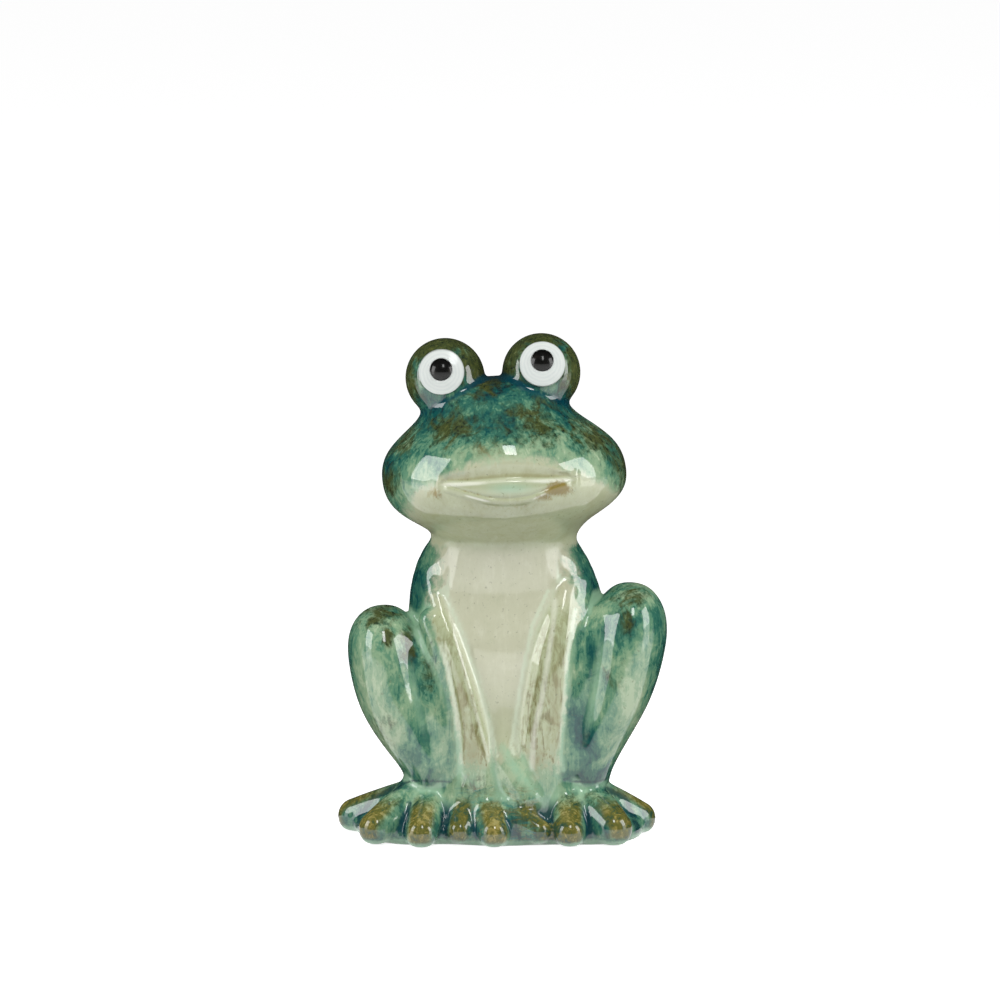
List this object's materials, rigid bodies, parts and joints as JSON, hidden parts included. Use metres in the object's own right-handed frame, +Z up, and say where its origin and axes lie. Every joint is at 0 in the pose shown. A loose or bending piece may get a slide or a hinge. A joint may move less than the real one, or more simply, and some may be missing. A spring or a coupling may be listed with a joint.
{
  "type": "frog figurine",
  "caption": "Sitting ceramic frog figurine in a mottled green and cream reactive glaze, with raised white eye discs and folded hind legs, standing on its flat base.",
  "frame": {"origin": "centre of the bounding box, on the ground plane that the figurine stands on", "axes": "+Z up, the frog faces -Y, +X towards the frog's left"},
  "size_m": [0.1308, 0.105, 0.2016],
  "materials": {
    "body_glaze": "gloss cream and celadon glaze with faint brown specks",
    "head_glaze": "gloss mottled teal and olive glaze over a cream muzzle",
    "eye_mound_glaze": "gloss olive glaze with dark teal patches",
    "eye_white_glaze": "gloss white glaze",
    "pupil_glaze": "gloss black glaze",
    "leg_glaze": "gloss mottled teal and celadon glaze, olive where it runs thin",
    "foot_glaze": "gloss teal glaze, olive-bronze on the toe tips"
  },
  "bodies": {
    "root": {"body_casting": "body_glaze", "head_casting": "head_glaze", "eye_mound_right": "eye_mound_glaze", "eye_mound_left": "eye_mound_glaze", "eye_white_right": "eye_white_glaze", "eye_white_left": "eye_white_glaze", "pupil_right": "pupil_glaze", "pupil_left": "pupil_glaze", "front_leg_right": "body_glaze", "front_leg_left": "body_glaze", "front_foot_right": "foot_glaze", "front_foot_left": "foot_glaze", "hind_leg_right": "leg_glaze", "hind_leg_left": "leg_glaze", "hind_foot_right": "foot_glaze", "hind_foot_left": "foot_glaze"}
  },
  "joints": []
}
